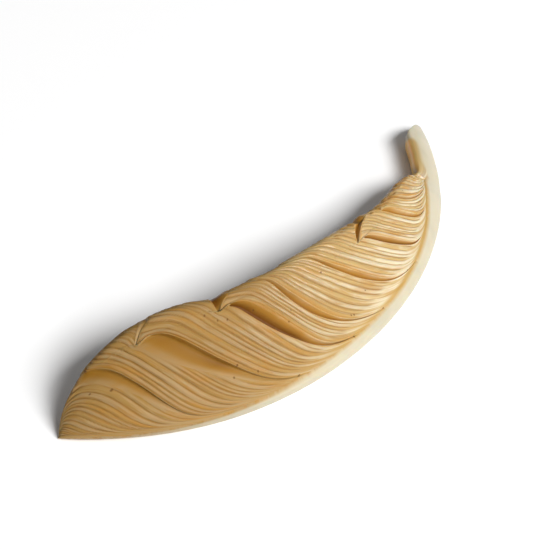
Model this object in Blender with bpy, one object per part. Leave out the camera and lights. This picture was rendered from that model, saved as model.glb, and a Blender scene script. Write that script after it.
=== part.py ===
"""Carved boar tusk: one solid piece that lies on its flat underside.

The tusk is a rounded triangle in section, swept along an arc. Nine locks of
hair-like strands are carved across its upper face and over the crest to the
inner wall. A smooth band of enamel is left along the outer edge, and the
tusk's own tip stands out of the carving as a smooth neck.

Metres, +Z up. +X runs along the chord from root to tip and the outer, convex
side faces -Y. The origin is at the middle of the box, on the underside.
"""
from collections import namedtuple
from math import pi, radians

import bmesh
import bpy
import numpy as np

MM = 0.001

# Sizes of the tusk
OUTER_RADIUS = 64.9 * MM
ARC_ANGLE = radians(111.6)
HEIGHT_TO_WIDTH = 0.97
ROOT_LENGTH_SHARE = 0.10
ROOT_TUCK = 1.8 * MM
ROOT_TUCK_REACH = 0.30

# Radial width of the body at stations along the arc, as (share of the arc, width)
WIDTHS = [(0.0, 1.0 * MM), (0.04, 5.2 * MM), (0.08, 9.6 * MM), (0.13, 14.2 * MM),
          (0.20, 17.2 * MM), (0.30, 17.8 * MM), (0.42, 17.8 * MM), (0.54, 17.1 * MM),
          (0.66, 14.5 * MM), (0.76, 11.2 * MM), (0.82, 9.2 * MM), (0.848, 7.5 * MM),
          (0.867, 5.7 * MM), (0.91, 5.2 * MM), (0.96, 5.1 * MM), (1.03, 4.6 * MM)]

# Section of the body, as (turn round it, share of the width inward, share of the height)
SECTION = [(0.00, 0.00, 0.17), (0.08, 0.06, 0.33), (0.20, 0.30, 0.63), (0.32, 0.58, 0.87),
           (0.42, 0.82, 1.00), (0.50, 0.96, 0.90), (0.62, 1.00, 0.52), (0.72, 0.96, 0.12),
           (0.80, 0.84, -0.02), (0.94, 0.12, -0.02)]
CREST_TURN = 0.42
WALL_FOOT_TURN = 0.72
UNDERSIDE_TURN = 0.79
SEAM_TURN = 0.87
NOSE_TURN = -0.06

# Turn at which the enamel band ends and the carving starts, along the arc
BAND_EDGE = [(0.0, 0.0), (0.20, 0.004), (0.30, 0.035), (0.40, 0.058), (0.52, 0.08),
             (0.65, 0.10), (0.72, 0.125), (0.79, 0.174), (0.83, 0.22), (0.865, 0.28),
             (0.89, 0.24), (0.93, 0.17), (1.0, 0.16)]

# Wear facet that ends the tip: share of the arc at the outer and at the inner side,
# and how round the corner between the facet and the outer edge is
TIP_END_OUTER = 1.003
TIP_END_INNER = 0.964
TIP_CORNER = 0.40
TIP_TUCK = 0.8 * MM
TIP_TUCK_REACH = 0.04

# Rounding of both ends: how far the rim is drawn in, at most as a share of the end's
# radius, and how far the rim and the middle stand out, as shares of that
END_ROUNDING = 0.7 * MM
END_ROUNDING_SHARE = 0.35
RIM_BULGE = 0.6
MIDDLE_BULGE = 0.8

# A fold is the root-side lip of a lock. Its line is told by q, 0 on the crest and 1 at
# the band. crest: share of the arc where it meets the crest, lean: how far it runs on
# from there to the band, curl: its last sweep along the band, curl_power: how late that
# sweep comes, bend: how far it bends away as it crosses the crest. Where a lock ends in
# a tongue, notch: how far that hooks back towards the root, notch_at: q of its lower
# edge, notch_width: how fast the hook runs out, turn_back: how fast its far edge runs on
# past the tip, side_gap: how fast the recess beyond that edge widens. gap: width of the
# hollow under the lip as a share of the arc, gap_at: q where the hollow is widest,
# gap_reach: how far from there it narrows, depth: of the hollow, crest_depth: share of
# that depth left at the crest, gouge: where across the hollow it is deepest, strands: in
# the lock that starts here.
Fold = namedtuple("Fold", "crest lean curl curl_power bend notch notch_at notch_width turn_back "
                          "side_gap gap gap_at gap_reach depth crest_depth gouge strands")
FOLDS = [
    Fold(0.000, 0.000, 0.000, 8, 0.000, 0.000, 0.000, 1.000, 0.00, 0.00,
         0.000, 0.30, 0.40, 0.0 * MM, 0.4, 0.50, 14),
    Fold(0.0785, 0.174, 0.057, 24, 0.025, 0.000, 0.000, 1.000, 0.00, 0.00,
         0.030, 0.34, 0.36, 0.55 * MM, 0.4, 0.96, 8),
    Fold(0.2015, 0.174, 0.030, 10, 0.000, 0.0576, 0.142, 0.027, 0.17, 0.09,
         0.058, 0.34, 0.33, 0.80 * MM, 0.3, 0.95, 10),
    Fold(0.363, 0.098, 0.050, 10, 0.000, 0.059, 0.1025, 0.0188, 0.26, 0.30,
         0.029, 0.30, 0.48, 1.00 * MM, 0.8, 0.14, 5),
    Fold(0.418, 0.085, 0.067, 6, -0.011, 0.000, 0.000, 1.000, 0.00, 0.00,
         0.014, 0.45, 0.40, 0.70 * MM, 0.5, 0.30, 8),
    Fold(0.503, 0.125, 0.050, 10, -0.015, 0.000, 0.000, 1.000, 0.00, 0.00,
         0.013, 0.55, 0.40, 0.65 * MM, 0.4, 0.35, 8),
    Fold(0.6195, 0.097, 0.055, 20, 0.000, 0.0316, 0.233, 0.0075, 0.26, 0.12,
         0.014, 0.45, 0.50, 0.75 * MM, 0.6, 0.45, 6),
    Fold(0.7185, 0.052, 0.045, 10, 0.000, 0.012, 0.085, 0.030, 0.08, 0.06,
         0.012, 0.30, 0.60, 0.65 * MM, 0.6, 0.45, 4),
    Fold(0.758, 0.056, 0.035, 4, 0.000, 0.000, 0.000, 1.000, 0.00, 0.00,
         0.007, 0.50, 0.60, 0.45 * MM, 0.6, 0.50, 5),
    Fold(0.862, -0.006, 0.000, 8, 0.000, 0.000, 0.000, 1.000, 0.00, 0.00,
         0.004, 0.50, 0.60, 0.12 * MM, 0.8, 0.50, 0),
]

# Lines of the carving, as shares of the arc and of q: q from which a fold bends over the
# crest and how fast, how far a hook moves to the crest from one strand to the next and
# how much softer it gets, a hollow's share of width at its ends, its least width beside
# a tongue, width below which it gets shallower, how soon it opens past the tip, and run
# of a lip
BEND_FROM = 0.12
BEND_REACH = 0.20
HOOK_STEP = 0.043
HOOK_SOFTNESS = 0.010
GAP_ENDS = 0.12
SIDE_GAP_LEAST = 0.003
WIDTH_FOR_DEPTH = 0.008
HOLLOW_OPENS = 0.030
LIP_RUN = 0.0008

# Strands: how far they run on under the next lock as a share of its hollow, pitch of the
# first lock's strands, which the root end cuts off, spread of the strands that end along
# an edge, softness of that edge, and room that a strand needs beside it
STRANDS_UNDER = 0.75
ROOT_PITCH = 0.0125
ROOT_SPREAD = 0.030
EDGE_SPREAD = 0.012
EDGE_SOFTNESS = 0.0015
EDGE_ROOM = 0.005

# Relief of the carving: a lock stands high at its lip and falls off across its strands,
# and the carved field lies a little under the smooth band
LIP_HEIGHT = 0.45 * MM
LIP_REACH = 0.45
LIP_POWER = 1.5
LOCK_FALL = 0.15 * MM
FIELD_SUNK = 0.10 * MM
STRAND_DEPTH = 0.30 * MM
STRAND_WANDER = 0.16
WANDER_RATES = (7.3, 2.1)

# Where the relief fades: towards the band, on the crest, and down the inner wall
BAND_FADE = 0.06
BAND_RELIEF = 0.35
CREST_FADE_START = 0.22
CREST_FADE = 0.30
LIP_AT_CREST = 0.5
WALL_RELIEF = 0.8
STRAND_END = 0.94
STRAND_FADE = 0.09

# Swell of the locks along the crest, as (share of the arc, height)
CREST_SWELL = [(0.0, 0.08 * MM), (0.10, 0.15 * MM), (0.15, 0.0), (0.205, 0.0), (0.28, 0.38 * MM),
               (0.315, -0.35 * MM), (0.345, -0.15 * MM), (0.385, 0.12 * MM), (0.43, -0.05 * MM),
               (0.52, 0.0), (0.60, 0.18 * MM), (0.65, 0.12 * MM), (0.71, -0.10 * MM),
               (0.78, 0.12 * MM), (0.86, 0.08 * MM)]
CREST_SWELL_TO = 0.45

# Fineness of the faceted solid
ROWS_PER_STRAND = 2
NECK_ROWS = 7
BAND_COLUMNS = 2
WALL_COLUMNS = 3
CARVED_STOPS = [1.0, 0.95, 0.87, 0.77, 0.66, 0.55, 0.45, 0.36, 0.29, 0.246, 0.226, 0.18,
                0.15, 0.135, 0.11, 0.095, 0.04, -0.05, -0.16]
NORMAL_STEP = 0.002
WELD_DISTANCE = 0.001 * MM
SMOOTH_UP_TO = radians(35)

TUSK_COLOUR = (0.60, 0.36, 0.13, 1.0)
TUSK_ROUGHNESS = 0.38


def curve_through(stations, values, where):
    """Smooth curve through uneven stations, read at where."""
    gaps = np.diff(stations)
    rates = np.diff(values) / gaps
    slopes = np.empty(len(values))
    slopes[0], slopes[-1] = rates[0], rates[-1]
    slopes[1:-1] = (rates[:-1] * gaps[1:] + rates[1:] * gaps[:-1]) / (gaps[1:] + gaps[:-1])
    index = np.clip(np.searchsorted(stations, where) - 1, 0, len(gaps) - 1)
    gap = gaps[index]
    s = (where - stations[index]) / gap
    rise = s * s * (3 - 2 * s)
    start = values[index] * (1 - rise) + gap * slopes[index] * s * (1 - s) ** 2
    return start + values[index + 1] * rise + gap * slopes[index + 1] * s * s * (s - 1)


def along(table, where):
    """Value of a (station, value) table at where."""
    stations, values = np.array(table).T
    return curve_through(stations, values, where)


def section(turn):
    """Share of the width inward and of the height, at a turn round the section."""
    turns, inward, upward = np.array(SECTION).T
    stations = np.concatenate([turns[-2:] - 1, turns, turns[:2] + 1])
    wrapped = (turn - stations[0]) % 1.0 + stations[0]
    x = curve_through(stations, np.concatenate([inward[-2:], inward, inward[:2]]), wrapped)
    z = curve_through(stations, np.concatenate([upward[-2:], upward, upward[:2]]), wrapped)
    return x, np.maximum(z, 0)


def arc_share(along_arc):
    """Share of the arc's angle, eased so that the root end is blunt."""
    pace = 1.0 / (1.0 - ROOT_LENGTH_SHARE / 2)
    eased = pace * along_arc ** 2 / (2 * ROOT_LENGTH_SHARE)
    return np.where(along_arc < ROOT_LENGTH_SHARE, eased, pace * (along_arc - ROOT_LENGTH_SHARE / 2))


def body_point(along_arc, turn):
    """Point of the smooth body before carving."""
    width = along(WIDTHS, along_arc)
    inward, upward = section(turn)
    angle = (arc_share(along_arc) - 0.5) * ARC_ANGLE
    root_tuck = ROOT_TUCK * np.maximum(1 - along_arc / ROOT_TUCK_REACH, 0) ** 2
    tip_tuck = TIP_TUCK * np.maximum(1 - (TIP_END_OUTER - along_arc) / TIP_TUCK_REACH, 0) ** 2
    radius = OUTER_RADIUS - root_tuck - tip_tuck - inward * width
    return np.stack([radius * np.sin(angle), -radius * np.cos(angle),
                     upward * width * HEIGHT_TO_WIDTH], -1)


def body_normal(along_arc, turn):
    """Outward normal of the smooth body."""
    run = body_point(along_arc + NORMAL_STEP, turn) - body_point(along_arc - NORMAL_STEP, turn)
    round_it = body_point(along_arc, turn + NORMAL_STEP) - body_point(along_arc, turn - NORMAL_STEP)
    normal = np.cross(run, round_it)
    return normal / np.maximum(np.linalg.norm(normal, axis=-1, keepdims=True), 1e-12)


def smooth(value):
    """Smooth step from 0 to 1."""
    value = np.clip(value, 0, 1)
    return value * value * (3 - 2 * value)


def straight_line(fold, q):
    """Line of a fold without its hook; q is 0 on the crest and 1 at the band."""
    over_crest = np.clip((BEND_FROM - q) / BEND_REACH, 0, 1) ** 2
    curl = fold.curl * np.clip(q, 0, 1) ** fold.curl_power
    return fold.crest + fold.lean * q + curl + fold.bend * over_crest


def hook(fold, q, strand=0.0):
    """How far the tongue of a lock reaches back towards the root, at one of its strands."""
    past = q - fold.notch_at + HOOK_STEP * strand
    soft_past = (past + np.hypot(past, HOOK_SOFTNESS * strand)) / 2
    return fold.notch * np.exp(-np.sqrt(soft_past / fold.notch_width))


def tongue_tip(fold):
    """Share of the arc at the tip of a lock's tongue."""
    return straight_line(fold, np.float64(fold.notch_at)) - fold.notch


def far_edge(fold, q):
    """Edge of the tongue on the crest side of its hook."""
    return tongue_tip(fold) + fold.turn_back * (fold.notch_at - np.maximum(q, 0))


def fold_line(fold, q):
    """Whole line of a fold, with its hook and the edge beyond it."""
    line = straight_line(fold, q) - hook(fold, q)
    if fold.notch == 0:
        return line
    return np.where(q < fold.notch_at, far_edge(fold, q), line)


def hollow_width(fold, q):
    """Width of the hollow in front of a fold's lip."""
    swell = GAP_ENDS + (1 - GAP_ENDS) * np.exp(-((q - fold.gap_at) / fold.gap_reach) ** 2)
    under = fold.gap * swell
    if fold.notch == 0:
        return under
    beyond = SIDE_GAP_LEAST + fold.side_gap * (fold.notch_at - np.clip(q, 0, fold.notch_at))
    return beyond + (under - beyond) * smooth((q - fold.notch_at) / HOLLOW_OPENS)


def soft_floor(value, floor):
    """The larger of the two, with the corner rounded."""
    return floor + EDGE_SOFTNESS * np.logaddexp(0, (value - floor) / EDGE_SOFTNESS)


def strand_line(index, share, q):
    """Line of a strand at a share of the way across lock number index, and its room.

    A strand ends at the edge of its own lock's tongue, and runs on up to the next one's
    hollow. The first lock's run beside the first fold, and the root end cuts them off.
    Room is 1 where it runs free and 0 where an edge cuts it off.
    """
    fold, following = FOLDS[index], FOLDS[index + 1]
    end = straight_line(following, q) - STRANDS_UNDER * following.gap
    start = straight_line(fold, q) + LIP_RUN if index else end - ROOT_PITCH * fold.strands
    free = start + share * (end - start) - hook(fold, q, share * fold.strands)
    line = free
    lip = fold_line(fold, q) + LIP_RUN
    foot = fold_line(following, q) - hollow_width(following, q)
    spread = np.minimum(EDGE_SPREAD, (foot - lip) / 2)
    if index == 0:
        line = soft_floor(line, ROOT_SPREAD * share) * min(1.0, share * fold.strands)
    if fold.notch:
        line = np.where(q < fold.notch_at, soft_floor(line, lip + spread * share), line)
    line = -soft_floor(-line, spread * (1 - share) - foot)
    return line, np.clip(1 - np.abs(line - free) / EDGE_ROOM, 0, 1)


def row_line(row, q):
    """Place along the arc of one row of the surface at q, and the room of its strand."""
    kind, index, share, _ = row
    if kind == "strand":
        return strand_line(index, share, q)
    if kind == "hollow":
        start = strand_line(index, 1.0, q)[0]
        return start + share * (fold_line(FOLDS[index + 1], q) - start), 1.0
    end = TIP_END_OUTER + 0 * q
    start = fold_line(FOLDS[-1], q) + LIP_RUN
    return start + share * (end - start), 1.0


def strand_cut(index, number):
    """Share of the lock at which a strand ends; hand-cut strands vary in width."""
    count = FOLDS[index].strands
    if number in (0, count):
        return number / count
    wave = WANDER_RATES[0] * number + WANDER_RATES[1] * index
    return (number + STRAND_WANDER * np.sin(wave)) / count


def surface_rows():
    """Rows of the carved surface from root to tip, as (kind, lock, share, ridge)."""
    rows = []
    for index, fold in enumerate(FOLDS[:-1]):
        for number in range(fold.strands):
            start, end = strand_cut(index, number), strand_cut(index, number + 1)
            for step in range(ROWS_PER_STRAND):
                part = step / ROWS_PER_STRAND
                rows.append(("strand", index, start + part * (end - start), np.sin(pi * part)))
        rows.append(("strand", index, 1.0, 0.0))
        gouge = FOLDS[index + 1].gouge
        rows += [("hollow", index, share, 0.0) for share in (gouge / 2, gouge)]
    rows += [("neck", len(FOLDS) - 1, step / NECK_ROWS, 0.0) for step in range(NECK_ROWS + 1)]
    return rows


def lock_height(index, share):
    """Height of a lock over the body: high at its lip, falling off across its strands."""
    lip = LIP_HEIGHT * max(0.0, 1 - share / LIP_REACH) ** LIP_POWER if index else 0.0
    return lip - LOCK_FALL * share


def crest_share(q, at_crest):
    """1 on the face, going over to another share at the crest."""
    return 1 - (1 - at_crest) * np.clip((CREST_FADE_START - q) / CREST_FADE, 0, 1)


def relief(row, place, q, room, side):
    """Height of the carving over the body; side fades it out on the hidden wall."""
    kind, index, share, ridge = row
    if kind == "neck":
        return 0 * q
    swell = along(CREST_SWELL, place) * smooth((CREST_SWELL_TO - q) / (2 * CREST_SWELL_TO))
    off_band = BAND_RELIEF + (1 - BAND_RELIEF) * smooth((1 - q) / BAND_FADE)
    level = off_band * crest_share(q, LIP_AT_CREST)
    if kind == "strand":
        ends = smooth((STRAND_END - q) / STRAND_FADE)
        carving = level * lock_height(index, share) - room * ends * STRAND_DEPTH * (1 - ridge)
        return side * (swell - FIELD_SUNK + carving)
    following = FOLDS[index + 1]
    strands, lip = level * lock_height(index, 1.0), level * lock_height(index + 1, 0.0)
    depth = following.depth * min(1.0, hollow_width(following, q) / WIDTH_FOR_DEPTH)
    deepest = strands - off_band * crest_share(q, following.crest_depth) * depth
    carving = np.interp(share, [0, following.gouge, 1], [0, 1, 2])
    carving = strands + (deepest - strands) * min(carving, 1) + (lip - deepest) * max(carving - 1, 0)
    return side * (swell - FIELD_SUNK + carving)


def column_stops():
    """Columns round the section from the seam, as (zone, stop)."""
    columns = [("under", SEAM_TURN - 1), ("under", NOSE_TURN)]
    columns += [("band", step / BAND_COLUMNS) for step in range(1, BAND_COLUMNS)]
    columns += [("carved", q) for q in CARVED_STOPS]
    columns += [("wall", (step + 1) / WALL_COLUMNS) for step in range(WALL_COLUMNS)]
    columns += [("inner foot", UNDERSIDE_TURN), ("under", SEAM_TURN)]
    return columns


def carved_turn(place, q):
    """Turn round the section at q."""
    return CREST_TURN - q * (CREST_TURN - along(BAND_EDGE, place))


def column_place(row, column):
    """Place along the arc, turn, q, room and fade of one column on one row."""
    zone, stop = column
    foot, _ = row_line(row, np.float64(1.0))
    if zone == "carved":
        line, room = row_line(row, np.float64(stop))
        return line, carved_turn(line, stop), stop, room, 1.0
    if zone in ("wall", "inner foot"):
        top = CARVED_STOPS[-1]
        crest, room = row_line(row, np.float64(top))
        if zone == "inner foot":
            return crest, stop, top, room, 0.0
        start = carved_turn(crest, top)
        return crest, start + stop * (WALL_FOOT_TURN - start), top, room, WALL_RELIEF * (1 - stop ** 2)
    turn = stop if zone == "under" else NOSE_TURN + stop * (along(BAND_EDGE, foot) - NOSE_TURN)
    return foot, turn, 1.0, 1.0, 0.0


def tip_slant(inward):
    """How far the wear facet cuts the tip back, at a share of the width inward."""
    cut = np.hypot(inward, TIP_CORNER) - TIP_CORNER
    return (TIP_END_OUTER - TIP_END_INNER) * cut / (np.hypot(1, TIP_CORNER) - TIP_CORNER)


def tusk_points():
    """Grid of surface points, rows from root to tip by columns round the section."""
    rows = surface_rows()
    columns = column_stops()
    grid = np.empty((len(rows), len(columns), 3))
    for i, row in enumerate(rows):
        places = [column_place(row, column) for column in columns]
        place, turn, q, room, side = np.array(places).T
        if row[0] == "neck":
            place = place - tip_slant(section(turn)[0]) * row[2] ** 2
        height = np.array([relief(row, *values) for values in zip(place, q, room, side)])
        grid[i] = body_point(place, turn) + body_normal(place, turn) * height[:, None]
    grid[:, :, 2] = np.maximum(grid[:, :, 2], 0)
    grid[:, :2, 2] = 0
    grid[:, -2:, 2] = 0
    return grid


def closed_ends(grid):
    """The grid with a rounded rim and a pole added at each end."""
    ends = []
    for ring, beyond in ((grid[0], grid[1]), (grid[-1], grid[-2])):
        middle = ring[:-1].mean(axis=0)
        out = middle - beyond[:-1].mean(axis=0)
        out[2] = 0
        out /= np.linalg.norm(out)
        reach = np.linalg.norm(ring - middle, axis=1, keepdims=True)
        inset = np.minimum(END_ROUNDING, END_ROUNDING_SHARE * reach)
        rim = ring + (middle - ring) * inset / reach + out * inset.min() * RIM_BULGE
        rim[:, 2] = np.maximum(rim[:, 2], 0)
        pole = np.repeat((middle + out * inset.min() * MIDDLE_BULGE)[None], len(ring), axis=0)
        ends.append((rim[None], pole[None]))
    (root_rim, root_pole), (tip_rim, tip_pole) = ends
    return np.concatenate([root_pole, root_rim, grid, tip_rim, tip_pole])


def tusk_mesh(name, points):
    """Closed mesh: a grid bent round into the tusk, with its seam and poles welded."""
    row_count, column_count = points.shape[:2]
    bm = bmesh.new()
    bmesh.ops.create_grid(bm, x_segments=row_count - 1, y_segments=column_count - 1, size=0.5)
    for vert in bm.verts:
        i = round((vert.co.x + 0.5) * (row_count - 1))
        j = round((vert.co.y + 0.5) * (column_count - 1))
        vert.co = points[i, j]
    bmesh.ops.remove_doubles(bm, verts=bm.verts, dist=WELD_DISTANCE)
    bmesh.ops.triangulate(bm, faces=bm.faces)
    bmesh.ops.recalc_face_normals(bm, faces=bm.faces)
    mesh = bpy.data.meshes.new(name)
    bm.to_mesh(mesh)
    bm.free()
    return mesh


def tusk_material():
    """Golden ivory of the carved tusk."""
    material = bpy.data.materials.new("Carved ivory")
    material.use_nodes = True
    shader = material.node_tree.nodes["Principled BSDF"]
    shader.inputs["Base Color"].default_value = TUSK_COLOUR
    shader.inputs["Roughness"].default_value = TUSK_ROUGHNESS
    shader.inputs["Metallic"].default_value = 0.0
    return material


def main():
    for old in list(bpy.data.objects):
        bpy.data.objects.remove(old, do_unlink=True)
    points = closed_ends(tusk_points())
    low, high = points.reshape(-1, 3).min(axis=0), points.reshape(-1, 3).max(axis=0)
    points -= np.array([(low[0] + high[0]) / 2, (low[1] + high[1]) / 2, low[2]])
    mesh = tusk_mesh("carved_tusk", points)
    mesh.materials.append(tusk_material())
    mesh.shade_smooth()
    mesh.set_sharp_from_angle(angle=SMOOTH_UP_TO)
    collection = bpy.data.collections.new("Carved boar tusk")
    bpy.context.scene.collection.children.link(collection)
    collection.objects.link(bpy.data.objects.new("carved_tusk", mesh))


main()
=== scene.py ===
"""Carved boar tusk, finished in fine relief and stained ivory, in a pale studio.

The tusk is a rounded triangle in section, swept along an arc. Nine locks of
hair-like strands are carved across its upper face and over the crest to the
inner wall. A band of cream enamel is left along the outer edge, and the tusk's
own tip stands out of the carving as a plain neck.

Places on the surface are told by shares. Place, or "along", is the share of the
arc, 0 at the root end and 1 at the tip. Turn goes round the section, 0 at the
outer edge and 0.42 at the crest. On the carved face q is 0 on the crest and 1 at
the enamel band.
"""
from collections import namedtuple
from math import cos, pi, radians, sin

import bmesh
import bpy
import numpy as np
from bpy.props import FloatProperty, FloatVectorProperty, IntProperty, PointerProperty
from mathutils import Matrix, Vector


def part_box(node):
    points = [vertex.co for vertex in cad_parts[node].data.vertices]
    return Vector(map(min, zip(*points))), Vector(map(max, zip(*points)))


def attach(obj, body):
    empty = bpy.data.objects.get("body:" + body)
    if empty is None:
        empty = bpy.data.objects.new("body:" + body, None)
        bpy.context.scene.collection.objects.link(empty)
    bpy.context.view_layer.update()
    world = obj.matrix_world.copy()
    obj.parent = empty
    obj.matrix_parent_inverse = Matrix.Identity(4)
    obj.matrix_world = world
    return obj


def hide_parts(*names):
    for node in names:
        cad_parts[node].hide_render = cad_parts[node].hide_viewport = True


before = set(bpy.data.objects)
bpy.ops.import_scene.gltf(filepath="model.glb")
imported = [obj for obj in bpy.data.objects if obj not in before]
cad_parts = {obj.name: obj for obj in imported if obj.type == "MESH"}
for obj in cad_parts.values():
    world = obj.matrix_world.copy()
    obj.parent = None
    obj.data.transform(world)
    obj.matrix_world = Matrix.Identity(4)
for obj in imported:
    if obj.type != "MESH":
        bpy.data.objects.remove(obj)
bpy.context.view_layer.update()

bl_info = {
    "name": "Carved boar tusk",
    "version": (1, 0, 0),
    "blender": (4, 5, 0),
    "location": "3D View > Sidebar > Tusk",
    "description": "A boar's tusk carved with locks of wavy strands, in a pale studio",
    "category": "Add Mesh",
}

MM = 0.001

# Radial width of the body at stations along the arc, as (along, width)
WIDTHS = [(0.0, 1.0 * MM), (0.04, 5.2 * MM), (0.08, 9.6 * MM), (0.13, 14.2 * MM),
          (0.20, 17.2 * MM), (0.30, 17.8 * MM), (0.42, 17.8 * MM), (0.54, 17.1 * MM),
          (0.66, 14.5 * MM), (0.76, 11.2 * MM), (0.82, 9.2 * MM), (0.848, 7.5 * MM),
          (0.867, 5.7 * MM), (0.91, 5.2 * MM), (0.96, 5.1 * MM), (1.03, 4.6 * MM)]

# Section of the body, as (turn, share of the width inward, share of the height), and turns
# at which its parts meet
SECTION = [(0.00, 0.00, 0.17), (0.08, 0.06, 0.33), (0.20, 0.30, 0.63), (0.32, 0.58, 0.87),
           (0.42, 0.82, 1.00), (0.50, 0.96, 0.90), (0.62, 1.00, 0.52), (0.72, 0.96, 0.12),
           (0.80, 0.84, -0.02), (0.94, 0.12, -0.02)]
NOSE_TURN = -0.06
CREST_TURN = 0.42
WALL_FOOT_TURN = 0.72
UNDERSIDE_TURN = 0.79
SEAM_TURN = 0.87

# Turn at which the enamel band ends and the carving starts, as (along, turn)
BAND_EDGE = [(0.0, 0.0), (0.20, 0.004), (0.30, 0.035), (0.40, 0.058), (0.52, 0.08),
             (0.65, 0.10), (0.72, 0.125), (0.79, 0.174), (0.83, 0.22), (0.865, 0.28),
             (0.89, 0.24), (0.93, 0.17), (1.0, 0.16)]

# Root end: share of the arc over which it gets blunt, and how far it is drawn in
ROOT_LENGTH_SHARE = 0.10
ROOT_TUCK = 1.8 * MM
ROOT_TUCK_REACH = 0.30

# Wear facet that ends the tip, the roundness of its corner at the outer edge, and how far
# that edge is drawn in before it
TIP_END_OUTER = 1.006
TIP_END_INNER = 0.964
TIP_CORNER = 0.40
TIP_TUCK = 0.10 * MM
TIP_TUCK_REACH = 0.04

# Rounding of both ends: how far the rim is drawn in, at most as a share of the end's
# radius, and how far the end bulges, as a share of that
END_ROUNDING = 0.7 * MM
END_ROUNDING_SHARE = 0.35
END_BULGE = 0.8
END_RINGS = 4

# A fold is the root-side lip of a lock. crest: share of the arc where it meets the
# crest, lean: how far it runs on from there to the band, curl: its last sweep along
# the band, curl_power: how late that sweep comes, bend: how far it bends away as it
# crosses the crest, strands: in the lock that starts here.
Fold = namedtuple("Fold", "crest lean curl curl_power bend strands hollow tongue", defaults=[None, None])

# The hollow under a fold's lip. width: as a share of the arc, widest: q where it is
# widest, reach: how far from there it narrows, depth: at its deepest, crest_depth: share
# of that left at the crest, gouge: where across it is deepest, blend: how far before it
# the strands start to fade.
Hollow = namedtuple("Hollow", "width widest reach depth crest_depth gouge blend")

# The tongue that a lock may end in. hook: how far it reaches back towards the root, at: q
# of its lower edge, width: how fast the hook runs out, turn_back: how fast its far edge
# runs on past the tip, droop: how far the tip droops, side_gap: how fast the recess
# beyond that edge widens.
Tongue = namedtuple("Tongue", "hook at width turn_back droop side_gap")

FOLDS = [
    Fold(0.0, 0.0, 0.0, 8, 0.0, strands=14),
    Fold(0.0785, 0.174, 0.057, 24, 0.025, strands=8,
         hollow=Hollow(0.030, 0.34, 0.36, 0.45 * MM, 0.4, gouge=0.86, blend=0.012)),
    Fold(0.2015, 0.174, 0.030, 10, 0.0, strands=10,
         hollow=Hollow(0.058, 0.34, 0.33, 0.70 * MM, 0.3, gouge=0.86, blend=0.018),
         tongue=Tongue(0.0576, 0.142, 0.027, 0.17, droop=0.040, side_gap=0.09)),
    Fold(0.363, 0.098, 0.050, 10, 0.0, strands=5,
         hollow=Hollow(0.029, 0.30, 0.48, 1.00 * MM, 0.55, gouge=0.14, blend=0.010),
         tongue=Tongue(0.059, 0.1025, 0.0188, 0.26, droop=0.042, side_gap=0.30)),
    Fold(0.418, 0.085, 0.067, 6, -0.011, strands=8,
         hollow=Hollow(0.014, 0.45, 0.40, 0.55 * MM, 0.5, gouge=0.30, blend=0.002)),
    Fold(0.503, 0.125, 0.050, 10, -0.015, strands=8,
         hollow=Hollow(0.013, 0.55, 0.40, 0.50 * MM, 0.4, gouge=0.35, blend=0.002)),
    Fold(0.6195, 0.097, 0.055, 20, 0.0, strands=8,
         hollow=Hollow(0.014, 0.45, 0.50, 0.72 * MM, 0.9, gouge=0.45, blend=0.003),
         tongue=Tongue(0.0316, 0.233, 0.0075, 0.26, droop=0.020, side_gap=0.12)),
    Fold(0.7185, 0.052, 0.045, 10, 0.0, strands=6,
         hollow=Hollow(0.012, 0.30, 0.60, 0.50 * MM, 0.6, gouge=0.45, blend=0.002),
         tongue=Tongue(0.012, 0.085, 0.030, 0.08, droop=0.012, side_gap=0.06)),
    Fold(0.758, 0.056, 0.035, 4, 0.0, strands=7,
         hollow=Hollow(0.007, 0.50, 0.60, 0.35 * MM, 0.6, gouge=0.50, blend=0.001)),
    Fold(0.862, -0.006, 0.0, 8, 0.0, strands=0,
         hollow=Hollow(0.004, 0.50, 0.60, 0.12 * MM, 0.8, gouge=0.50, blend=0.001)),
]

# Lines of the folds, hollows and tongues, as shares of the arc and of q
BEND_FROM = 0.12
BEND_REACH = 0.20
HOOK_STEP = 0.043
HOOK_SOFTNESS = 0.010
HOLLOW_ENDS = 0.12
SIDE_GAP_LEAST = 0.003
BELOW_TIP = 0.030
LIP_RUN = 0.0008
BEAK_LENGTH = 0.011
BEAK_REACH = 0.060

# Lines of the strands: how far apart beside the first fold, how many are followed before a
# lock, up to which multiples of its own they and their cuts go on, how far across the next
# hollow its last one would lie, and the samples taken of them
ROOT_PITCH = 0.0125
STRANDS_BEFORE = 14
STRANDS_BEYOND = 1.7
CUTS_BEYOND = 2
STRANDS_UNDER = 0.75
STRAND_SAMPLES = 160

# Relief: how far across a lock its lip reaches and how steeply it falls off, how its edge
# is rounded, the fall of a lock across its strands, and the rise of a hollow to the lip
LIP_REACH = 0.45
LIP_POWER = 1.5
LIP_ROUNDING = 0.12 * MM
LIP_ROUND_TO = 0.5
LOCK_FALL = 0.15 * MM
RISE_POWER = 1.2

# Share of a lip's height beyond a tongue's tip, as a multiple of its hollow's crest_depth
SIDE_STEP = 1.2

# Strands cut by hand: how far their edges wander, by rates from strand to strand and from
# lock to lock, a groove's width as a share of a strand, waves of its width and depth, as
# (size, rate from strand to strand, rate along one), and how round the strands are
STRAND_WANDER = 0.27
WANDER_RATES = (7.3, 2.1)
GROOVE_WIDTH = 0.135
WIDTH_WAVES = [(0.30, 1.7, 5.0)]
DEPTH_WAVES = [(0.35, 1.0, 9.0), (0.20, 2.9, 37.0)]
STRAND_ROUNDING = 0.30

# Where the relief fades: towards the band, down the face, on the crest and down the inner
# wall, and how far the carved field is sunk below the band
BAND_FADE = 0.06
BAND_RELIEF = 0.08
LOW_FROM = 0.40
LOW_FALL = 0.50
CREST_FADE_START = 0.22
CREST_FADE = 0.30
LIP_AT_CREST = 0.5
WALL_RELIEF = 0.8
FIELD_SUNK = 0.10 * MM
FIELD_EDGE = 0.02

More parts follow.
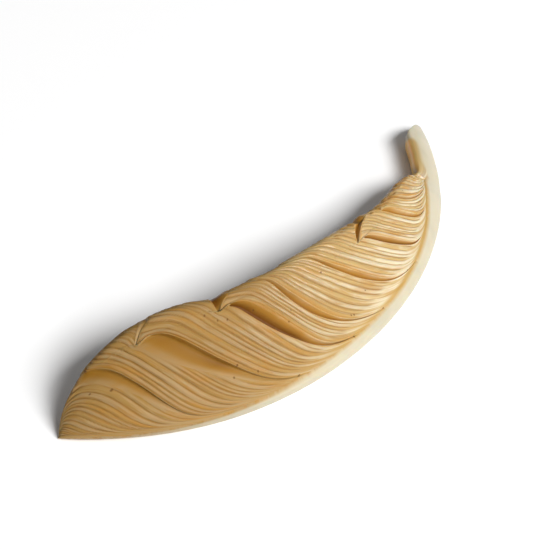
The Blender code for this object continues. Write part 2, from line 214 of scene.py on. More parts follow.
# Where strands run out before the band, as (along, q), and how raggedly and softly
STRAND_END = [(0.0, 0.985), (0.20, 0.965), (0.35, 0.93), (0.50, 0.89), (0.80, 0.87), (0.90, 0.88)]
STRAND_END_SPREAD = 0.02
STRAND_END_RATE = 2.3
STRAND_FADE = 0.06

# Swell of the locks on the crest, as (along, height), and q at which it is gone
CREST_SWELL = [(0.0, 0.08 * MM), (0.10, 0.15 * MM), (0.15, 0.0), (0.205, 0.0), (0.28, 0.38 * MM),
               (0.315, -0.35 * MM), (0.345, -0.15 * MM), (0.385, 0.12 * MM), (0.43, -0.05 * MM),
               (0.52, 0.0), (0.60, 0.18 * MM), (0.65, 0.12 * MM), (0.71, -0.10 * MM),
               (0.78, 0.12 * MM), (0.86, 0.08 * MM)]
CREST_SWELL_TO = 0.45

# Small nicks in the crest: where along the arc, how they come and go there, how deep they
# are and how far down the face they reach
NICKED = (0.56, 0.84)
NICK_FADE = 0.05
NICK_RATES = (330.0, 91.0)
NICK_PHASE = 1.3
NICK_DEPTH = 0.30 * MM
NICK_REACH = 0.10

# Marks of the stain in a hollow: how fast it sets in, the share of it at the hollow's
# foot and how much is gone at the lip, and how it grows with the hollow's depth and width
# Where this mark is highest, under the lips, its colour also carries painted shade
STAIN_PACE = 1.15
FOOT_STAIN = 0.28
LIP_CLEARED = 0.7
STAIN_LEAST = 0.15
STAIN_DEPTH = 1.1 * MM
STAIN_WIDTH = 1.5

# Stain on the lip itself, and q from which it is full
LIP_STAIN = 0.35
LIP_STAIN_FROM = 0.3

# Dark creases in the hollows: where along the arc they set in, how wide they are, how
# they end at the band, and the depth at which they are full. A tongue's hollow has one
# only with more than this crest_depth.
# The colour of a crease is partly stain and partly painted shade along the deepest line of the hollow
CREASED = (0.22, 0.34)
CREASE_RUN = 0.0022
CREASE_FADE = 0.015
CREASE_DEPTH = 0.4 * MM
CREASE_CREST_DEPTH = 0.5

# How tones change from strand to strand, from lock to lock and along a strand
TONE_RATES = (4.1, 1.3, 3.0)

# Enamel: the golden strip between its edge and the carving, how soft that edge is, and on
# the neck how soon the enamel widens, to which turn, how softly, and where and how far it
# spreads on to the tip
GOLD_STRIP = 0.016
ENAMEL_EDGE = 0.006
NECK_ENAMEL_RATE = 3.0
NECK_ENAMEL_TURN = 0.34
NECK_ENAMEL_EDGE = 0.10
TIP_ENAMEL_FROM = 0.62
TIP_ENAMEL_SPREAD = 0.25

# Faces: columns over the carving, as (q where a zone ends, columns in it), close together
# where tongues hook, and columns and rows elsewhere
COLUMN_ZONES = [(0.92, 12), (0.40, 32), (0.27, 10), (0.21, 13), (0.165, 5), (0.09, 17),
                (-0.06, 12), (-0.16, 5)]
BAND_COLUMNS = 7
WALL_COLUMNS = 12
UNDER_COLUMNS = 3
NECK_ROWS = 26

# Step over which the body's normals are measured, and how near points are welded
NORMAL_STEP = 0.002
WELD_DISTANCE = 0.0005 * MM

# Pits and dark nicks in the ivory, as (share of the arc, q, radius in millimetres), the
# lengths in millimetres that turn those shares into a flat map of the face, how far their
# outline wanders there, and shares of the radius where a pit is full and where it ends
PITS = [(0.0944, 0.40, 0.36), (0.1263, 0.481, 0.42), (0.287, 0.134, 0.30), (0.3055, 0.21, 0.30),
        (0.3218, 0.233, 0.28), (0.302, 0.709, 0.30), (0.311, 0.627, 0.26), (0.338, 0.741, 0.26),
        (0.369, 0.252, 0.26), (0.411, 0.498, 0.26), (0.425, 0.416, 0.24), (0.5106, 0.27, 0.28),
        (0.5096, 0.79, 0.26), (0.5146, 0.806, 0.26), (0.557, 0.709, 0.24), (0.699, 0.052, 0.32),
        (0.3935, 0.973, 0.34), (0.498, 0.985, 0.34), (0.567, 0.985, 0.30), (0.648, 0.94, 0.34),
        (0.770, 0.027, 0.30), (0.785, 0.192, 0.26), (0.805, 0.416, 0.24)]
MAP_LENGTH = 126.0
MAP_WIDTH = 20.0
PIT_WANDER = 0.5
PIT_FULL = 0.2
PIT_END = 1.05

# Noise in the ivory: rates from strand to strand, across the face and along the tusk for
# what runs with the strands, how many strands apart it sets one lock from the next, and
# rates per metre for what runs its own way
STREAK_RATES = (1.7, 4.5, 2.0)
WARM_RATES = (0.6, 3.5, 2.0)
SCRATCH_RATES = (5.5, 2.5, 3.0)
LOCK_STEP = 20
BROAD_RATE = 70.0
FINE_RATE = 900.0
ENAMEL_RATE = 160.0

# Where a finish starts and where it is full: along the tusk, across the face, and in turns
# round the neck
GOLDEN_FROM = (0.28, 0.66)
AMBER_FROM = (0.25, 0.50)
# Along the tusk: painted shade in the deepest part of the hollows, over their stain
DEEPEST_SHADE_FROM = (0.24, 0.33)
NICKS_FROM = (0.52, 0.68)
# Along the tusk: painted shade, the enamel goes over to the darker ivory towards the root, where the band
# lies in shade
ENAMEL_FROM = (0.04, 0.36)
# Across the face: the pale strand tops there are partly bleaching, partly a painted highlight
HIGHLIT_FACE = (0.08, 0.50)
BELOW_NICKS = (-0.02, 0.13)
RIM_STRIP = (0.93, 0.98)
NECK_EDGE = (0.26, 0.38)
# Round the neck: the inner side gets orange stain, brightened as painted light where it lies in shade
NECK_INSIDE = (0.42, 0.50)

# Where a finish starts and is full, as levels of the noise that it follows
STREAKS_SHOW = (0.38, 0.62)
SCRATCHES_SHOW = (0.56, 0.70)
WARMTH_SHOWS = (0.50, 0.70)
DARK_NICKS_SHOW = (0.48, 0.62)
OLD_ENAMEL_SHOWS = (0.42, 0.70)

# The same, as levels of the marks of a hollow and of a crease
HOLLOW_DULL = (0.0, 0.30)
HOLLOW_STAINED = (0.0, 0.55)
# Painted shade, over the stain, where the hollow mark is highest
HOLLOW_DEEPEST_SHADE = (0.40, 0.95)
# Partly stain, partly painted shade along the creases
CREASE_STAIN_AND_SHADE = (0.1, 0.9)

# What every colour setting has in common
COLOUR = {"subtype": "COLOR", "size": 4, "min": 0.0, "max": 1.0}

# Studio: where the lights are, as shares to the right, away and up as the camera sees it,
# their width and height and how far off they are, and half the side of the floor, in metres
KEY_DIRECTION = (0.80, -0.70, 1.0)
KEY_SIZE = (2.0, 1.0)
FILL_DIRECTION = (0.1, 0.0, 1.0)
FILL_SIZE = (3.0, 3.0)
LIGHT_DISTANCE = 3.0
FLOOR_REACH = 2.0


class TuskSizes(bpy.types.PropertyGroup):
    """Sizes of the tusk and of its carving"""
    outer_radius: FloatProperty(
        name="Outer radius", description="Radius of the arc of the enamel edge",
        default=64.9 * MM, precision=4, unit="LENGTH")
    arc_angle: FloatProperty(
        name="Arc", description="Angle that the tusk bends through",
        default=radians(111.6), subtype="ANGLE", unit="ROTATION")
    height_to_width: FloatProperty(
        name="Height to width", description="Height of the section as a share of its width",
        default=0.97, subtype="FACTOR", min=0.1, max=2.0)
    lip_height: FloatProperty(
        name="Lip height", description="How far a lock's lip stands over the face",
        default=0.40 * MM, precision=5, unit="LENGTH")
    strand_depth: FloatProperty(
        name="Strand depth", description="Depth of the cuts between the strands",
        default=0.25 * MM, precision=5, unit="LENGTH")
    strand_rows: IntProperty(
        name="Strand fineness", description="Rows of faces across one strand",
        default=7, min=2, max=12)
    hollow_rows: IntProperty(
        name="Hollow fineness", description="Rows of faces across one hollow",
        default=10, min=2, max=24)


class TuskColours(bpy.types.PropertyGroup):
    """Colours of the ivory, its stain and its enamel"""
    ivory: FloatVectorProperty(
        name="Ivory", description="Golden tan of the carved face",
        default=(0.50, 0.345, 0.145, 1.0), **COLOUR)
    # Partly real bleaching, partly a painted highlight on the strand tops of the open face
    bleached_and_highlight: FloatVectorProperty(
        name="Bleached ivory and highlight", description="Pale tops of the strands",
        default=(0.67, 0.60, 0.43, 1.0), **COLOUR)
    shaded: FloatVectorProperty(
        name="Root ivory", description="Browner ivory near the root",
        default=(0.285, 0.158, 0.038, 1.0), **COLOUR)
    groove: FloatVectorProperty(
        name="Groove stain", description="Stain in the cuts between strands",
        default=(0.24, 0.105, 0.024, 1.0), **COLOUR)
    # Partly real stain, partly painted shade in the deepest part of the hollows, under the lips
    hollow: FloatVectorProperty(
        name="Deep stain and shade", description="Brown stain where a hollow is deepest",
        default=(0.125, 0.040, 0.002, 1.0), **COLOUR)
    amber: FloatVectorProperty(
        name="Amber stain", description="Orange stain under the lips of the upper locks",
        default=(0.40, 0.180, 0.020, 1.0), **COLOUR)
    root_hollow: FloatVectorProperty(
        name="Root hollow stain", description="Browner stain under the lips near the root",
        default=(0.275, 0.128, 0.012, 1.0), **COLOUR)
    # Partly real stain, partly painted shade along the deepest line of the hollows; also the colour of
    # the dark nicks
    crease: FloatVectorProperty(
        name="Crease stain and shade", description="Dark stain along the creases",
        default=(0.15, 0.055, 0.012, 1.0), **COLOUR)
    pit: FloatVectorProperty(
        name="Pit stain", description="Dark brown in the pits",
        default=(0.12, 0.048, 0.010, 1.0), **COLOUR)
    enamel: FloatVectorProperty(
        name="Enamel", description="Cream of the enamel band",
        default=(0.52, 0.465, 0.335, 1.0), **COLOUR)
    old_enamel: FloatVectorProperty(
        name="Old enamel", description="Greyer patches of the enamel",
        default=(0.44, 0.41, 0.31, 1.0), **COLOUR)
    horn: FloatVectorProperty(
        name="Neck edge", description="Olive ivory beside the enamel of the neck",
        default=(0.40, 0.28, 0.11, 1.0), **COLOUR)
    # Real orange stain, brightened as painted light on the shaded inner side of the neck
    neck_inner_stain_and_light: FloatVectorProperty(
        name="Neck inside", description="Orange stain on the inner side of the neck",
        default=(0.93, 0.52, 0.14, 1.0), **COLOUR)
    rim: FloatVectorProperty(
        name="Gold rim", description="Smooth golden strip beside the enamel",
        default=(0.44, 0.275, 0.082, 1.0), **COLOUR)


class StudioSettings(bpy.types.PropertyGroup):
    """Camera, lights and floor of the picture"""
    azimuth: FloatProperty(
        name="Camera azimuth", description="Direction that the picture is taken from",
        default=radians(-50.5), subtype="ANGLE", unit="ROTATION")
    elevation: FloatProperty(
        name="Camera elevation", description="Height of the camera over the horizon",
        default=radians(45.0), subtype="ANGLE", unit="ROTATION")
    distance: FloatProperty(
        name="Camera distance", description="From the camera to the point that it aims at",
        default=434.0 * MM, precision=3, unit="LENGTH")
    focal_length: FloatProperty(
        name="Focal length", description="Lens, in millimetres on a 36 mm frame",
        default=150.0)
    aim: FloatVectorProperty(
        name="Aim", description="Point on the floor that the camera looks at",
        default=(3.4 * MM, 10.1 * MM, 0.0), subtype="TRANSLATION", unit="LENGTH", precision=4)
    key_power: FloatProperty(
        name="Key light", description="Power of the soft light from the right, in watts",
        default=131.0)
    fill_power: FloatProperty(
        name="Fill light", description="Power of the light from above, in watts", default=12.0)
    surround: FloatProperty(
        name="Surround", description="Brightness of the white room", default=0.06)
    floor_colour: FloatVectorProperty(
        name="Floor", description="Colour of the plain floor",
        default=(0.98, 0.98, 0.98, 1.0), **COLOUR)


def smooth(value):
    """Smooth step from 0 to 1."""
    value = np.clip(value, 0, 1)
    return value * value * (3 - 2 * value)


def curve_through(stations, values, where):
    """Smooth curve through uneven stations, read at where."""
    gaps = np.diff(stations)
    rates = np.diff(values) / gaps
    slopes = np.empty(len(values))
    slopes[0], slopes[-1] = rates[0], rates[-1]
    slopes[1:-1] = (rates[:-1] * gaps[1:] + rates[1:] * gaps[:-1]) / (gaps[1:] + gaps[:-1])
    index = np.clip(np.searchsorted(stations, where) - 1, 0, len(gaps) - 1)
    gap = gaps[index]
    s = (where - stations[index]) / gap
    rise = s * s * (3 - 2 * s)
    start = values[index] * (1 - rise) + gap * slopes[index] * s * (1 - s) ** 2
    return start + values[index + 1] * rise + gap * slopes[index + 1] * s * s * (s - 1)


def along(table, where):
    """Value of a (station, value) table at where."""
    stations, values = np.array(table).T
    return curve_through(stations, values, where)


def section(turn):
    """Share of the width inward and of the height, at a turn round the section."""
    turns, inward, upward = np.array(SECTION).T
    stations = np.concatenate([turns[-2:] - 1, turns, turns[:2] + 1])
    wrapped = (turn - stations[0]) % 1.0 + stations[0]
    x = curve_through(stations, np.pad(inward, 2, mode="wrap"), wrapped)
    z = curve_through(stations, np.pad(upward, 2, mode="wrap"), wrapped)
    return x, np.maximum(z, 0)


def arc_share(place):
    """Share of the arc's angle, eased so that the root end is blunt."""
    pace = 1.0 / (1.0 - ROOT_LENGTH_SHARE / 2)
    eased = pace * place ** 2 / (2 * ROOT_LENGTH_SHARE)
    return np.where(place < ROOT_LENGTH_SHARE, eased, pace * (place - ROOT_LENGTH_SHARE / 2))


def body_point(sizes, place, turn):
    """Point of the smooth body before carving."""
    width = along(WIDTHS, place)
    inward, upward = section(turn)
    angle = (arc_share(place) - 0.5) * sizes.arc_angle
    root_tuck = ROOT_TUCK * np.maximum(1 - place / ROOT_TUCK_REACH, 0) ** 2
    tip_tuck = TIP_TUCK * np.maximum(1 - (TIP_END_OUTER - place) / TIP_TUCK_REACH, 0) ** 2
    radius = sizes.outer_radius - root_tuck - tip_tuck - inward * width
    height = upward * width * sizes.height_to_width
    return np.stack([radius * np.sin(angle), -radius * np.cos(angle), height], -1)


def body_normal(sizes, place, turn):
    """Outward normal of the smooth body."""
    ahead = body_point(sizes, place + NORMAL_STEP, turn)
    run = ahead - body_point(sizes, place - NORMAL_STEP, turn)
    onward = body_point(sizes, place, turn + NORMAL_STEP)
    round_it = onward - body_point(sizes, place, turn - NORMAL_STEP)
    normal = np.cross(run, round_it)
    return normal / np.maximum(np.linalg.norm(normal, axis=-1, keepdims=True), 1e-12)


def straight_line(fold, q):
    """Line of a fold without its hook."""
    over_crest = np.clip((BEND_FROM - q) / BEND_REACH, 0, 1) ** 2
    curl = fold.curl * np.clip(q, 0, 1) ** fold.curl_power
    return fold.crest + fold.lean * q + curl + fold.bend * over_crest


def hook(fold, q, strand=0.0):
    """How far the tongue of a lock reaches back towards the root, at one of its strands."""
    if not fold.tongue:
        return 0.0
    past = q - fold.tongue.at + HOOK_STEP * strand
    soft_past = (past + np.hypot(past, HOOK_SOFTNESS * strand)) / 2
    return fold.tongue.hook * np.exp(-np.sqrt(soft_past / fold.tongue.width))


def tongue_tip(fold):
    """Share of the arc at the tip of a lock's tongue."""
    return straight_line(fold, np.float64(fold.tongue.at)) - fold.tongue.hook


def below_tip(fold, q):
    """0 beyond the tip of a lock's tongue and 1 below it, or 1 where there is no tongue."""
    return smooth((q - fold.tongue.at) / BELOW_TIP) if fold.tongue else 1.0


def fold_line(fold, q):
    """Line of a fold, with the edges of its tongue on both sides of the tip."""
    line = straight_line(fold, q) - hook(fold, q)
    if not fold.tongue:
        return line
    far_edge = tongue_tip(fold) + fold.tongue.turn_back * (fold.tongue.at - np.maximum(q, 0))
    return np.where(q < fold.tongue.at, far_edge, line)


def hollow_width(fold, q):
    """Width of the hollow in front of a fold's lip."""
    away = (q - fold.hollow.widest) / fold.hollow.reach
    under = fold.hollow.width * (HOLLOW_ENDS + (1 - HOLLOW_ENDS) * np.exp(-away ** 2))
    if not fold.tongue:
        return under
    beyond = SIDE_GAP_LEAST + fold.tongue.side_gap * (fold.tongue.at - np.clip(q, 0, fold.tongue.at))
    return beyond + (under - beyond) * below_tip(fold, q)


def strand_numbers(index, q, place):
    """Number of the strand at each place on lock number index, one per q.

    Strands follow the hump of their own lock's tongue, and run on under the next one's.
    The first lock's run beside the first fold, and the root end cuts them off.
    """
    fold, following = FOLDS[index], FOLDS[index + 1]
    end = straight_line(following, q) - STRANDS_UNDER * following.hollow.width
    start = straight_line(fold, q) if index else end - ROOT_PITCH * fold.strands
    numbers = np.linspace(-STRANDS_BEFORE, STRANDS_BEYOND * fold.strands, STRAND_SAMPLES)[:, None]
    lines = start + numbers / fold.strands * (end - start) - hook(fold, q, np.maximum(numbers, 0))
    return np.array([np.interp(at, line, numbers[:, 0]) for at, line in zip(place, lines.T)])


def hand_phase(index, number):
    """Phase of what changes by hand from strand to strand on lock number index."""
    return WANDER_RATES[0] * number + WANDER_RATES[1] * index


def strand_cuts(index):
    """Numbers at which the grooves between strands lie; hand-cut strands vary in width."""
    count = np.arange(-STRANDS_BEFORE, CUTS_BEYOND * FOLDS[index].strands)
    return count + np.where(count == 0, 0, STRAND_WANDER * np.sin(hand_phase(index, count)))


def uneven(waves, phase, q):
    """A share about 1 that changes from strand to strand and along each."""
    return 1 + sum(size * np.sin(by_strand * phase + by_q * q) for size, by_strand, by_q in waves)


# One row of the surface. kind: strand, hollow or neck; lock: number of the lock;
# share: how far across the lock, the hollow or the neck
Row = namedtuple("Row", "kind lock share")


def row_line(row, q):
    """Place along the arc of one row of the surface at q."""
    lip = fold_line(FOLDS[row.lock], q) + LIP_RUN * (row.lock > 0)
    if row.kind == "neck":
        return lip + row.share * (TIP_END_OUTER - lip)
    following = FOLDS[row.lock + 1]
    next_lip = fold_line(following, q)
    foot = next_lip - hollow_width(following, q)
    if row.kind == "strand":
        return lip + row.share * (foot - lip)
    return foot + row.share * (next_lip - foot)


def surface_rows(sizes):
    """Rows of the carved surface from root to tip."""
    rows = []
    for index, fold in enumerate(FOLDS[:-1]):
        count = fold.strands * sizes.strand_rows
        rows += [Row("strand", index, step / count) for step in range(count)]
        gouge, half = FOLDS[index + 1].hollow.gouge, sizes.hollow_rows // 2
        rows += [Row("hollow", index, gouge * step / half) for step in range(half)]
        rows += [Row("hollow", index, gouge + (1 - gouge) * step / half) for step in range(half + 1)]
    last = len(FOLDS) - 1
    rows += [Row("neck", last, step / NECK_ROWS) for step in range(NECK_ROWS + 1)]
    return rows


# Height of the carving over the body, and the marks that it leaves for the finish
Relief = namedtuple("Relief", "height groove hollow crease number tone",
                    defaults=[0.0, 0.0, 0.0, 0.0, 0.5])


def lock_height(sizes, index, share):
    """Height of a lock over the body: high at its lip, falling off across its strands."""
    lip = sizes.lip_height * np.maximum(0.0, 1 - share / LIP_REACH) ** LIP_POWER if index else 0.0
    return lip - LOCK_FALL * share


def crest_share(q, at_crest):
    """1 on the face, going over to another share at the crest."""
    return 1 - (1 - at_crest) * np.clip((CREST_FADE_START - q) / CREST_FADE, 0, 1)


def low_share(q):
    """Share of the relief that is left as the face runs down to the band."""
    return 1 - LOW_FALL * smooth((q - LOW_FROM) / (1 - LOW_FROM))


def face_share(q):
    """Share of the relief across the face, almost none on the band."""
    return (BAND_RELIEF + (1 - BAND_RELIEF) * smooth((1 - q) / BAND_FADE)) * low_share(q)


def side_share(fold, q):
    """Share of a lip's height that is left beyond the tip of its tongue."""
    if not fold.tongue:
        return 1.0
    beyond = min(SIDE_STEP * fold.hollow.crest_depth, 1)
    return beyond + (1 - beyond) * below_tip(fold, q)


def nicks(place, q):
    """Depth of the small nicks in the crest of the upper locks."""
    waves = np.sin(NICK_RATES[0] * place) * np.sin(NICK_RATES[1] * place + NICK_PHASE)
    upper = smooth((place - NICKED[0]) / NICK_FADE) * smooth((NICKED[1] - place) / NICK_FADE)
    return NICK_DEPTH * np.maximum(waves, 0) * upper * smooth((NICK_REACH - q) / NICK_REACH)


def stain_share(fold, q):
    """How much of the stain the hollow under a lip takes, by its depth and its width."""
    by_width = np.minimum(STAIN_WIDTH * hollow_width(fold, q) / fold.hollow.width, 1)
    return min(STAIN_LEAST + fold.hollow.depth / STAIN_DEPTH, 1) * by_width


def crease_stain_and_shade(fold, share, place, q):
    """Dark line along the deepest part of the hollow under a lip, partly stain and partly painted shade.
    """
    off_line = (share - fold.hollow.gouge) * hollow_width(fold, q) / CREASE_RUN
    crease = np.exp(-off_line ** 2) * smooth((1 - q) / CREASE_FADE)
    crease = crease * smooth((place - CREASED[0]) / (CREASED[1] - CREASED[0]))
    if fold.tongue:
        crease = crease * (fold.hollow.crest_depth > CREASE_CREST_DEPTH) * below_tip(fold, q)
    return crease * smooth(fold.hollow.depth / CREASE_DEPTH)


def carved_hollow(sizes, row, place, q, side):
    """Relief of the hollow before the next lock: down to its deepest line, then to the lip."""
    fold = FOLDS[row.lock + 1]
    gouge = fold.hollow.gouge
    down = smooth(min(row.share / gouge, 1))
    up = max(row.share - gouge, 0) / (1 - gouge)
    step = side_share(fold, q)
    carved = side * face_share(q)
    face = carved * crest_share(q, LIP_AT_CREST)
    sunk = carved * step * crest_share(q, fold.hollow.crest_depth) * fold.hollow.depth
    floor = face * lock_height(sizes, row.lock, 1.0) - down * sunk
    lip = face * step * lock_height(sizes, row.lock + 1, 0.0) - side * LIP_ROUNDING

    stained = smooth(min(STAIN_PACE * row.share / gouge, 1))
    stain = FOOT_STAIN + (1 - FOOT_STAIN) * stained - LIP_CLEARED * up
    return Relief(height=floor + up ** RISE_POWER * (lip - floor),
                  hollow=side * stain * stain_share(fold, q),
                  crease=side * crease_stain_and_shade(fold, row.share, place, q),
                  number=FOLDS[row.lock].strands)


def carved_strands(sizes, row, place, q, side):
    """Relief of a lock's strands, parted by grooves that run out before the band."""
    fold, following = FOLDS[row.lock], FOLDS[row.lock + 1]
    number = strand_numbers(row.lock, q, place)
    cuts = strand_cuts(row.lock)
    nearest = cuts[np.abs(number[:, None] - cuts).argmin(axis=1)]
    phase = hand_phase(row.lock, nearest)
    end = along(STRAND_END, place) + STRAND_END_SPREAD * np.sin(STRAND_END_RATE * phase)
    foot = fold_line(following, q) - hollow_width(following, q)
    blend = LIP_RUN + (following.hollow.blend - LIP_RUN) * below_tip(following, q)
    room = smooth((foot - place) / blend)
    present = side * smooth((end - q) / STRAND_FADE) * room

    away = np.abs(number - nearest)
    groove = present * np.exp(-(away / (GROOVE_WIDTH * uneven(WIDTH_WAVES, phase, q))) ** 2)
    rounding = present * (1 - 4 * np.minimum(away, 0.5) ** 2)
    cut = (1 - STRAND_ROUNDING) * groove + STRAND_ROUNDING * rounding
    depth = sizes.strand_depth * uneven(DEPTH_WAVES, phase, q)

    has_lip = row.lock > 0
    from_lip = row.share * fold.strands
    own = lock_height(sizes, row.lock, row.share)
    own = own + (side_share(fold, q) - 1) * max(own, 0)
    face = side * face_share(q) * crest_share(q, LIP_AT_CREST)
    lip_round = side * has_lip * LIP_ROUNDING * max(1 - from_lip / LIP_ROUND_TO, 0) ** 2

    on_lip = has_lip * LIP_STAIN * smooth(1 - from_lip) * smooth(q / LIP_STAIN_FROM) * low_share(q)
    at_foot = FOOT_STAIN * (1 - room) * stain_share(following, q)
    strand = np.searchsorted(cuts, number)
    tones = TONE_RATES[0] * strand + TONE_RATES[1] * row.lock + TONE_RATES[2] * q
    return Relief(height=face * own - cut * depth - lip_round,
                  groove=groove,
                  hollow=side * np.maximum(on_lip, at_foot),
                  number=number,
                  tone=0.5 + 0.5 * np.sin(tones))


def carving(sizes, row, place, q, side):
    """Relief of one row of the surface; side is the share of it that each column has."""
    if row.kind == "neck":
        return Relief(height=0 * q)
    carve = carved_hollow if row.kind == "hollow" else carved_strands
    relief = carve(sizes, row, place, q, side)
    swell = along(CREST_SWELL, place) * smooth((CREST_SWELL_TO - q) / (2 * CREST_SWELL_TO))
    sunk = FIELD_SUNK * smooth((1 - q) / FIELD_EDGE)
    return relief._replace(height=relief.height + side * (swell - nicks(place, q) - sunk))


def neck_share(row):
    """0 on the carving, going over to 1 along the start of the neck."""
    return smooth(NECK_ENAMEL_RATE * row.share) if row.kind == "neck" else 0.0


def enamel_share(row, place, turn):
    """1 where the surface is enamel: the band, the outer side of the neck and its end."""
    neck = neck_share(row)
    onto_tip = TIP_ENAMEL_SPREAD * smooth((row.share - TIP_ENAMEL_FROM) / (1 - TIP_ENAMEL_FROM))
    band_edge = along(BAND_EDGE, place) - GOLD_STRIP
    edge = band_edge * (1 - neck) + (NECK_ENAMEL_TURN + onto_tip) * neck
    return smooth(0.5 + (edge - turn) / (ENAMEL_EDGE + NECK_ENAMEL_EDGE * neck))


def carved_stops():
    """Values of q from the band to past the crest, close together where tongues hook."""
    stops, start = [], 1.0
    for end, count in COLUMN_ZONES:
        stops.append(np.linspace(start, end, count, endpoint=False))
        start = end
    return np.concatenate(stops + [[start]])


def beak_droop(place, q):
    """How far the surface is drawn down towards the band round the tips of the tongues."""
    droop = 0 * q
    for fold in FOLDS:
        if fold.tongue:
            near = np.exp(-((place - tongue_tip(fold)) / BEAK_LENGTH) ** 2)
            droop = droop + fold.tongue.droop * near * np.exp(-((q - fold.tongue.at) / BEAK_REACH) ** 2)
    return droop


def row_places(row):
    """Place, turn, q and share of the relief of every column on one row, from the seam round."""
    stops = carved_stops()
    line = row_line(row, stops)
    foot, over = line[0], line[-1]
    drawn = stops + beak_droop(line, stops)
    turn = CREST_TURN - drawn * (CREST_TURN - along(BAND_EDGE, line))
    nose = np.linspace(SEAM_TURN - 1, NOSE_TURN, UNDER_COLUMNS)
    band = np.linspace(NOSE_TURN, along(BAND_EDGE, foot), BAND_COLUMNS + 1)[1:-1]
    before = np.concatenate([nose, band])
    down = np.arange(1, WALL_COLUMNS + 1) / WALL_COLUMNS
    wall = turn[-1] + down * (WALL_FOOT_TURN - turn[-1])
    after = np.linspace(UNDERSIDE_TURN, SEAM_TURN, UNDER_COLUMNS)
    plain, under = np.ones_like(before), np.ones_like(after)
    return (np.concatenate([foot * plain, line, over + 0 * down, np.linspace(over, foot, UNDER_COLUMNS)]),
            np.concatenate([before, turn, wall, after]),
            np.concatenate([plain, stops, stops[-1] + 0 * down, under]),
            np.concatenate([0 * plain, 1 + 0 * stops, WALL_RELIEF * (1 - down ** 2), 0 * under]))


def tip_slant(inward):
    """How far the wear facet cuts the tip back, at a share of the width inward."""
    cut = np.hypot(inward, TIP_CORNER) - TIP_CORNER
    return (TIP_END_OUTER - TIP_END_INNER) * cut / (np.hypot(1, TIP_CORNER) - TIP_CORNER)


# Marks that the finish reads from the surface, one attribute each
Marks = namedtuple("Marks", "groove hollow crease enamel turn neck along across run tone")


def tusk_surface(sizes):
    """Points and marks of the surface, rows from root to tip by columns round it."""
    points, marks = [], []
    for row in surface_rows(sizes):
        place, turn, q, side = row_places(row)
        if row.kind == "neck":
            place = place - tip_slant(section(turn)[0]) * row.share ** 2
        relief = carving(sizes, row, place, q, side)
        at = body_point(sizes, place, turn) + body_normal(sizes, place, turn) * relief.height[:, None]
        at[:, 2] = np.maximum(at[:, 2], 0)
        at[:UNDER_COLUMNS, 2] = 0
        at[-UNDER_COLUMNS:, 2] = 0
        points.append(at)
        values = Marks(relief.groove, relief.hollow, relief.crease, enamel_share(row, place, turn),
                       turn, neck_share(row), along=place, across=q,
                       run=LOCK_STEP * row.lock + relief.number, tone=relief.tone)
        marks.append(np.stack([value + 0 * q for value in values], -1))
    return np.array(points), np.array(marks)


def rounded_end(ring, inner):
    """Rings that close the end at a ring with a rounded rim and a pole."""
    middle = ring[:-1].mean(axis=0)
    out = middle - inner[:-1].mean(axis=0)
    out[2] = 0
    out /= np.linalg.norm(out)
    reach = np.linalg.norm(ring - middle, axis=1, keepdims=True)
    inset = np.minimum(END_ROUNDING, END_ROUNDING_SHARE * reach)
    rings = []
    for step in range(1, END_RINGS + 1):
        bend = step / END_RINGS * pi / 2
        drawn = (middle - ring) * inset / reach * (1 - cos(bend))
        rim = ring + drawn + out * inset.min() * END_BULGE * sin(bend)
        rim[:, 2] = np.maximum(rim[:, 2], 0)
        rings.append(rim)
    centre = (middle + out * inset.min() * END_BULGE)[None]
    rings.append((rings[-1] + centre) / 2)
    rings.append(np.repeat(centre, len(ring), axis=0))
    return np.array(rings)


def closed_ends(points, marks):
    """The surface and its marks with both ends closed."""
    root = rounded_end(points[0], points[1])[::-1]
    tip = rounded_end(points[-1], points[-2])
    first, last = np.repeat(marks[:1], len(root), 0), np.repeat(marks[-1:], len(tip), 0)
    return np.concatenate([root, points, tip]), np.concatenate([first, marks, last])


def tusk_mesh(name, points, marks):
    """Closed mesh: a grid bent round into the tusk, with its seam and poles welded."""
    row_count, column_count = points.shape[:2]
    bm = bmesh.new()
    layers = [bm.verts.layers.float.new(mark) for mark in Marks._fields]
    bmesh.ops.create_grid(bm, x_segments=row_count - 1, y_segments=column_count - 1, size=0.5)
    for vert in bm.verts:
        i = round((vert.co.x + 0.5) * (row_count - 1))
        j = round((vert.co.y + 0.5) * (column_count - 1))
        vert.co = points[i, j]
        for layer, value in zip(layers, marks[i, j]):
            vert[layer] = value
    bmesh.ops.remove_doubles(bm, verts=bm.verts, dist=WELD_DISTANCE)
    bmesh.ops.recalc_face_normals(bm, faces=bm.faces)
    mesh = bpy.data.meshes.new(name)
    bm.to_mesh(mesh)
    bm.free()
    mesh.shade_smooth()
    return mesh


class Wire:
    """A shader socket; Python's operators on it add Math nodes."""

    def __init__(self, tree, socket):
        self.tree = tree
        self.socket = socket

    def math(self, operation, first, second):
        return self.tree.add("ShaderNodeMath", {"operation": operation}, {0: first, 1: second})

    def __add__(self, other):
        return self.math("ADD", self, other)

    def __radd__(self, other):
        return self.math("ADD", other, self)

    def __sub__(self, other):
        return self.math("SUBTRACT", self, other)

    def __rsub__(self, other):
        return self.math("SUBTRACT", other, self)

    def __mul__(self, other):
        return self.math("MULTIPLY", self, other)

    def __rmul__(self, other):
        return self.math("MULTIPLY", other, self)


